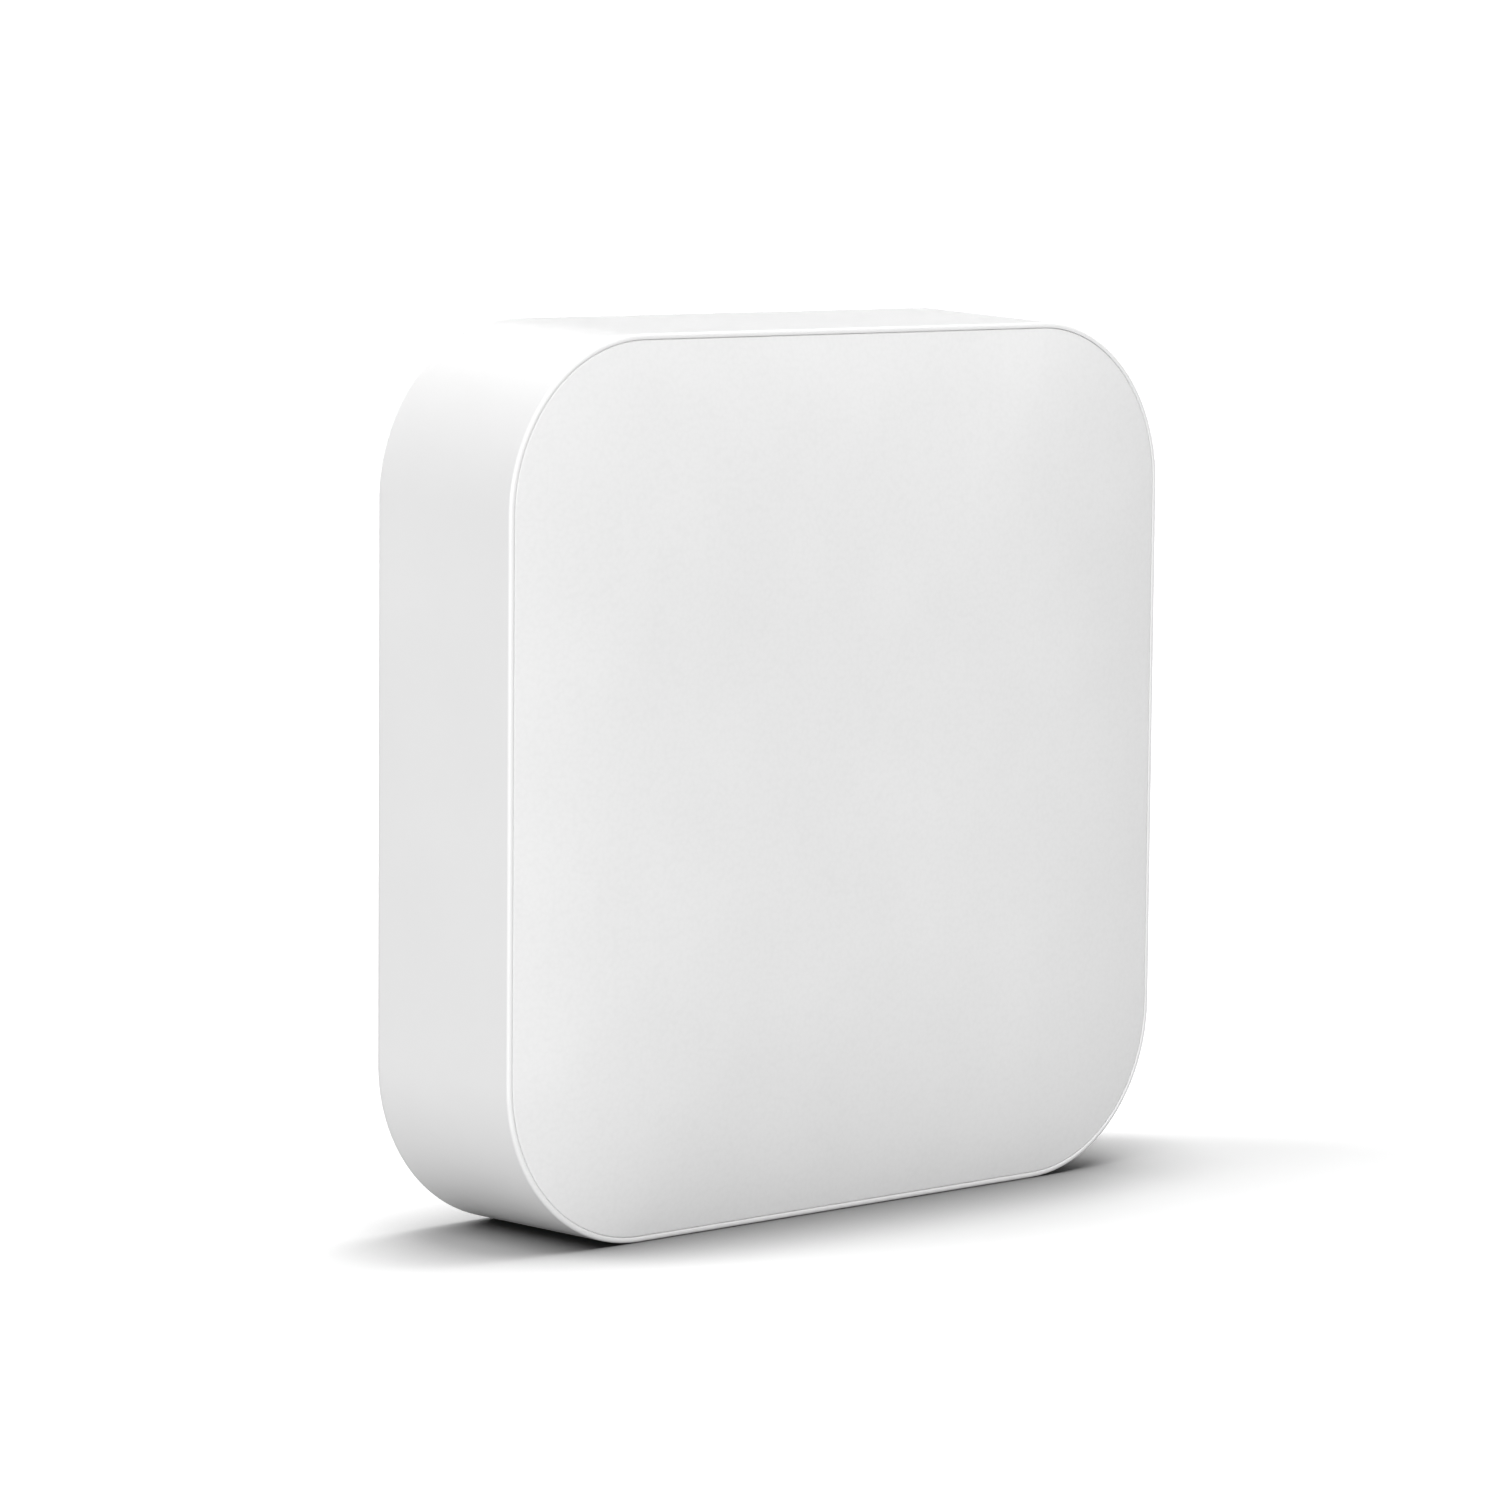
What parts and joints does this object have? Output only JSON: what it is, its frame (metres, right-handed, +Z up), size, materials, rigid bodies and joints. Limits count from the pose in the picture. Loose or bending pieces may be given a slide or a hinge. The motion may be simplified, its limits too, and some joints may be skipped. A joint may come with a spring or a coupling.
{
  "type": "smart home hub",
  "caption": "Rounded square smart home hub with a crowned front cover, network, USB and power sockets, a vented back and push buttons.",
  "frame": {"origin": "below the middle of the hub's box, on the surface that it stands on", "axes": "+Z up, front face towards -Y, back with its feet towards +Y, sockets on the +X side"},
  "size_m": [0.127, 0.032, 0.1269],
  "materials": {
    "white_satin": "smooth satin moulding",
    "white_grain": "fine matte grain",
    "grey_plastic": "satin moulding",
    "label_film": "blank film, satin",
    "grey_rubber": "soft matte",
    "steel": "satin nickel plate",
    "board_green": "solder mask",
    "black_plastic": "moulded",
    "gold": "gold plate",
    "pad_blue": "soft pad",
    "aluminium": "anodised, satin",
    "clear": "clear acrylic"
  },
  "bodies": {
    "hub": {"housing": "white_satin", "rear_cover": "white_satin", "front_cover": "white_grain", "port_panel": "grey_plastic", "rating_label": "label_film", "rear_foot_1": "grey_rubber", "rear_foot_2": "grey_rubber", "rear_foot_3": "grey_rubber", "rear_foot_4": "grey_rubber", "cover_screw_1": "steel", "cover_screw_2": "steel", "cover_screw_3": "steel", "cover_screw_4": "steel", "board_screw_1": "steel", "board_screw_2": "steel", "board_screw_3": "steel", "board_screw_4": "steel", "ethernet_shell": "steel", "usb_shell": "steel", "dc_pin": "steel", "wifi_shield": "steel", "zigbee_shield": "steel", "crystal": "steel", "antenna_upper": "steel", "antenna_lower": "steel", "main_board": "board_green", "ethernet_insert": "black_plastic", "usb_tongue": "black_plastic", "dc_jack": "black_plastic", "pairing_switch": "black_plastic", "reset_switch": "black_plastic", "processor": "black_plastic", "memory_chip": "black_plastic", "ethernet_transformer": "black_plastic", "power_inductor": "black_plastic", "coax_upper": "black_plastic", "coax_lower": "black_plastic", "ethernet_contacts": "gold", "coax_connector_upper": "gold", "coax_connector_lower": "gold", "thermal_pad": "pad_blue", "heat_sink": "aluminium", "capacitor_1": "aluminium", "capacitor_2": "aluminium", "status_led": "clear", "light_pipe": "clear"},
    "pairing_press": {"pairing_button": "grey_plastic", "pairing_plunger": "black_plastic"},
    "reset_press": {"reset_button": "grey_plastic", "reset_plunger": "black_plastic"}
  },
  "joints": [
    {"name": "pairing_travel", "type": "slide", "parent": "hub", "child": "pairing_press", "axis": [-1, 0, 0], "range_m": [0, 0.0005], "stiffness_N_per_m": 1500, "springref_m": -0.0007},
    {"name": "reset_travel", "type": "slide", "parent": "hub", "child": "reset_press", "axis": [-1, 0, 0], "range_m": [0, 0.0005], "stiffness_N_per_m": 1500, "springref_m": -0.0007}
  ]
}
